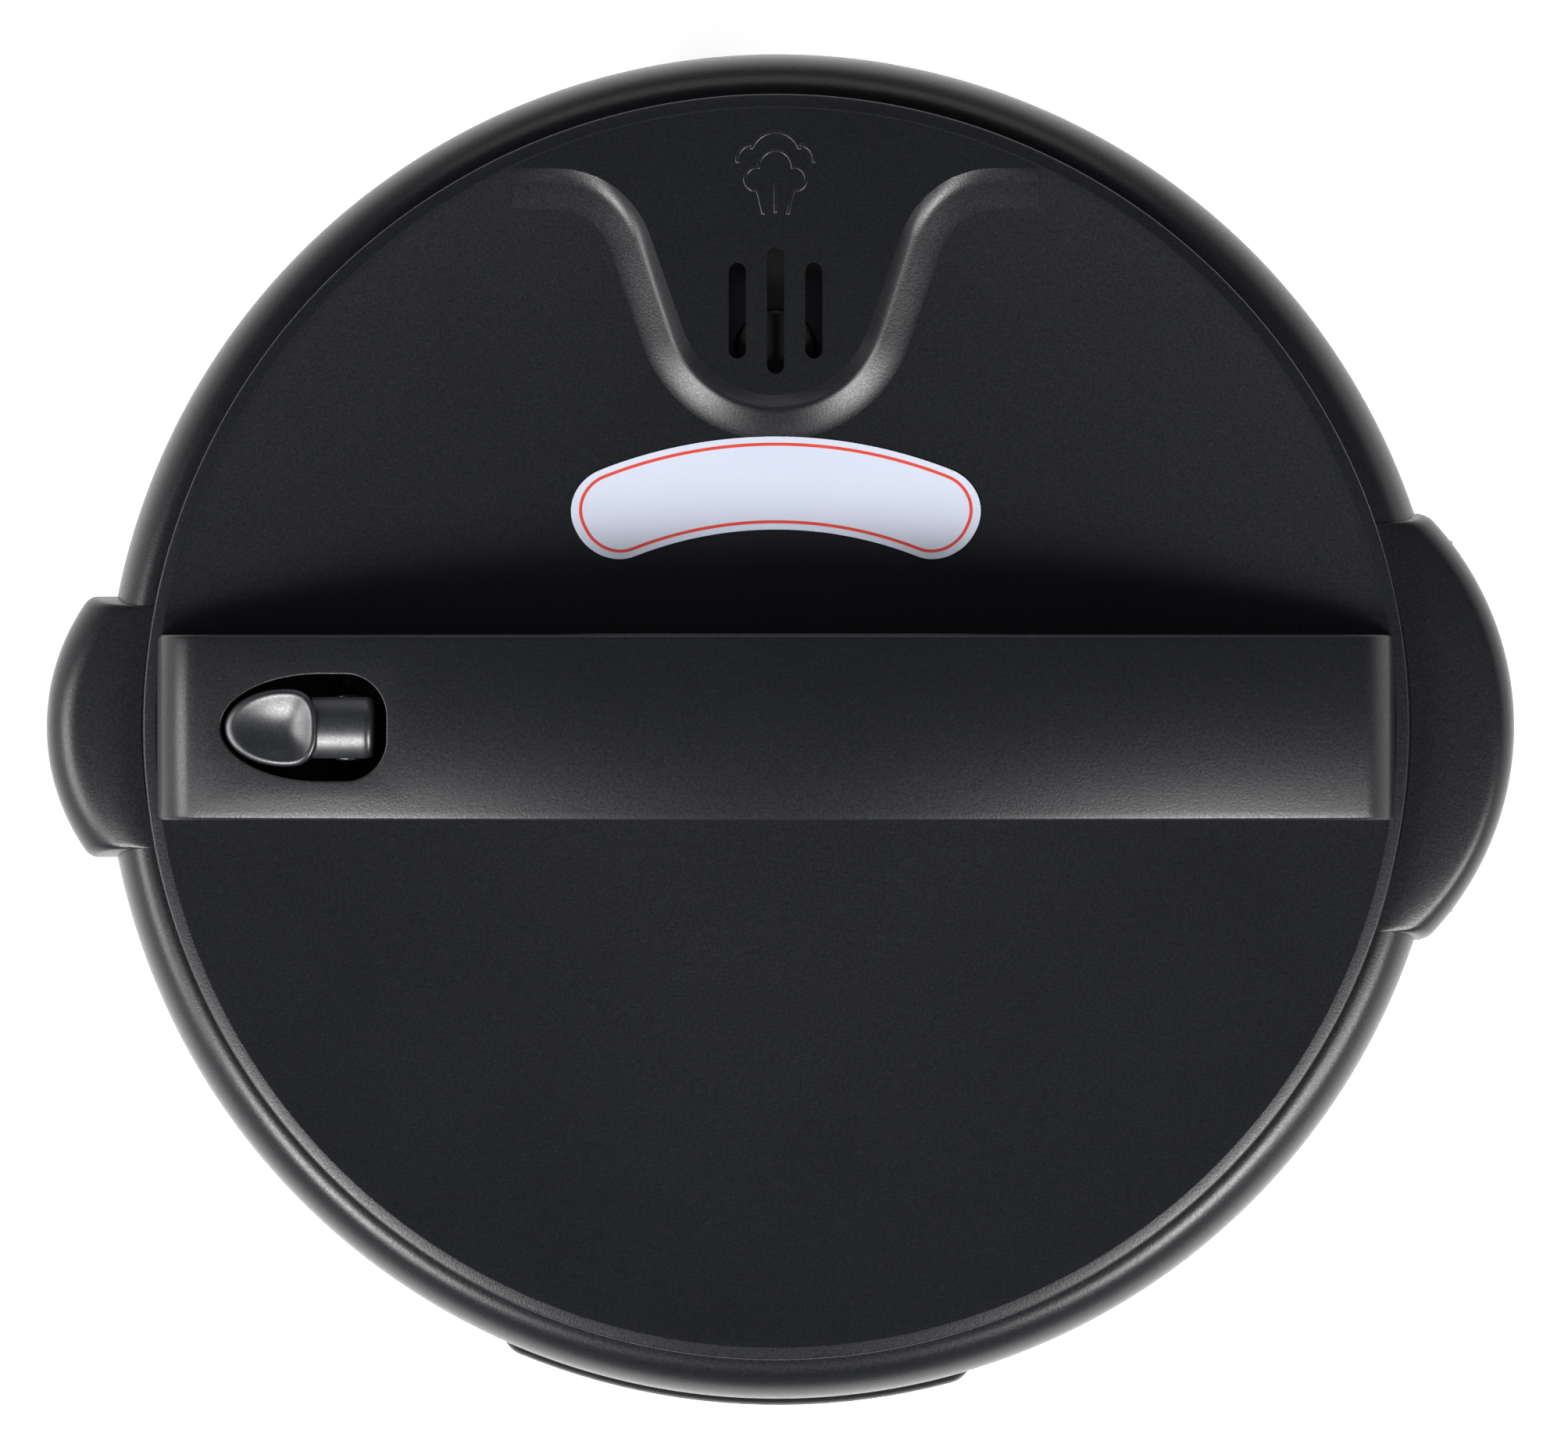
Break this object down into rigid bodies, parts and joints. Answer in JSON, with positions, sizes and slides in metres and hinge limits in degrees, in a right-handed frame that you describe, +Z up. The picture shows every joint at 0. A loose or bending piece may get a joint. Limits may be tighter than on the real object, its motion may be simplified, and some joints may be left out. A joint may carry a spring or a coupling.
{
  "type": "electric pressure cooker",
  "caption": "Round electric pressure cooker seen with its black dished bayonet lid, bar handle with a thumb release button, side handles, steel body and front control panel.",
  "frame": {"origin": "middle of the footprint, on the table that the feet stand on", "axes": "+Z up, +X to the cooker's right with the wide side handle, -Y to the front with the control panel; the bar handle lies along X"},
  "size_m": [0.3375, 0.3191, 0.302],
  "materials": {
    "black_abs": "fine moulded texture, matte black",
    "brushed_shell": "brushed round the body",
    "pressed_steel": "pressed stainless steel, satin",
    "cast_aluminium": "cast and turned",
    "plated_fasteners": "zinc plated steel",
    "spring_steel": "drawn wire and tube",
    "rubber_feet": "matte",
    "silicone": "translucent grey-white, matte",
    "panel_gloss": "glossy black sheet",
    "display_clear": "smoked clear",
    "cup_clear": "clear moulded",
    "key_grey": "satin dark grey",
    "circuit_board": "green laminate",
    "component_black": "moulded",
    "transformer_iron": "varnished laminations",
    "inner_nylon": "natural nylon",
    "inlet_brass": "plain",
    "label_white": "coated paper label, plain with a thin border"
  },
  "bodies": {
    "base": {"feet": "rubber_feet", "bottom_cover": "pressed_steel", "bottom_screws": "plated_fasteners", "base_housing": "black_abs", "body_shell": "brushed_shell", "shell_screws": "plated_fasteners", "tie_rods": "plated_fasteners", "upper_ring": "black_abs", "left_handle": "black_abs", "right_handle": "black_abs", "side_handle_screws": "plated_fasteners", "outer_pot": "cast_aluminium", "inner_pot": "pressed_steel", "heating_plate": "cast_aluminium", "heater_element": "spring_steel", "sensor_bracket": "pressed_steel", "sensor_spring": "spring_steel", "pressure_switch": "component_black", "power_board": "circuit_board", "board_posts": "inner_nylon", "board_relay": "component_black", "board_transformer": "transformer_iron", "inlet_socket": "black_abs", "inlet_pins": "inlet_brass", "panel_housing": "black_abs", "panel_face": "panel_gloss", "display_window": "display_clear", "display_module": "component_black", "control_board": "circuit_board", "collector_bracket": "black_abs"},
    "lid": {"lid_cover": "black_abs", "label": "label_white", "handle_shell": "black_abs", "handle_screws": "plated_fasteners", "lid_plate": "pressed_steel", "lid_nuts": "plated_fasteners", "seal_rack": "pressed_steel", "sealing_ring": "silicone", "valve_nozzle": "plated_fasteners", "valve_nut": "plated_fasteners", "anti_block_cap": "pressed_steel", "float_seat": "inner_nylon", "button_pin": "plated_fasteners", "button_spring": "spring_steel", "lever_pin": "plated_fasteners", "lever_bracket": "pressed_steel"},
    "release_button": {"release_button": "black_abs"},
    "release_lever": {"release_lever": "inner_nylon"},
    "valve_weight": {"valve_weight": "plated_fasteners"},
    "float_valve": {"float_pin": "plated_fasteners", "float_gasket": "silicone"},
    "temperature_sensor": {"sensor_cap": "cast_aluminium"},
    "condensate_cup": {"condensate_cup": "cup_clear"},
    "key_1": {"key_1": "key_grey"},
    "key_2": {"key_2": "key_grey"},
    "key_3": {"key_3": "key_grey"},
    "key_4": {"key_4": "key_grey"},
    "key_5": {"key_5": "key_grey"},
    "key_6": {"key_6": "key_grey"}
  },
  "joints": [
    {"name": "lid_turn", "type": "hinge", "parent": "base", "child": "lid", "pos_m": [0, 0, 0.25255], "axis": [0, 0, 1], "range_deg": [0, 30]},
    {"name": "button_press", "type": "hinge", "parent": "lid", "child": "release_button", "pos_m": [-0.096, 0, 0.28447], "axis": [0, -1, 0], "range_deg": [0, 7], "stiffness_Nm_per_rad": 0.5, "deforming": ["button_spring"]},
    {"name": "lever_rock", "type": "hinge", "parent": "lid", "child": "release_lever", "pos_m": [-0.056, 0.043, 0.2586], "axis": [0.609, -0.7932, 0], "range_deg": [0, 1.49]},
    {"name": "weight_lift", "type": "slide", "parent": "lid", "child": "valve_weight", "axis": [0, 0, 1], "range_m": [0, 0.002]},
    {"name": "float_rise", "type": "slide", "parent": "lid", "child": "float_valve", "axis": [0, 0, 1], "range_m": [0, 0.0035]},
    {"name": "sensor_slide", "type": "slide", "parent": "base", "child": "temperature_sensor", "axis": [0, 0, -1], "range_m": [0, 0.002], "stiffness_N_per_m": 1500, "deforming": ["sensor_spring"]},
    {"name": "cup_slide", "type": "slide", "parent": "base", "child": "condensate_cup", "axis": [0, 0, -1], "range_m": [0, 0.03]},
    {"name": "key_1_press", "type": "slide", "parent": "base", "child": "key_1", "axis": [0.2122, 0.9772, 0], "range_m": [0, 0.0008], "stiffness_N_per_m": 2000},
    {"name": "key_2_press", "type": "slide", "parent": "base", "child": "key_2", "axis": [-0.0828, 0.9966, 0], "range_m": [0, 0.0008], "stiffness_N_per_m": 2000},
    {"name": "key_3_press", "type": "slide", "parent": "base", "child": "key_3", "axis": [0.2122, 0.9772, 0], "range_m": [0, 0.0008], "stiffness_N_per_m": 2000},
    {"name": "key_4_press", "type": "slide", "parent": "base", "child": "key_4", "axis": [-0.0828, 0.9966, 0], "range_m": [0, 0.0008], "stiffness_N_per_m": 2000},
    {"name": "key_5_press", "type": "slide", "parent": "base", "child": "key_5", "axis": [0.2122, 0.9772, 0], "range_m": [0, 0.0008], "stiffness_N_per_m": 2000},
    {"name": "key_6_press", "type": "slide", "parent": "base", "child": "key_6", "axis": [-0.0828, 0.9966, 0], "range_m": [0, 0.0008], "stiffness_N_per_m": 2000}
  ],
  "couplings": [
    {"joint": "lever_rock", "follows": "button_press", "ratio": 0.20503},
    {"joint": "weight_lift", "follows": "button_press", "m_per_rad": 0.014479}
  ]
}
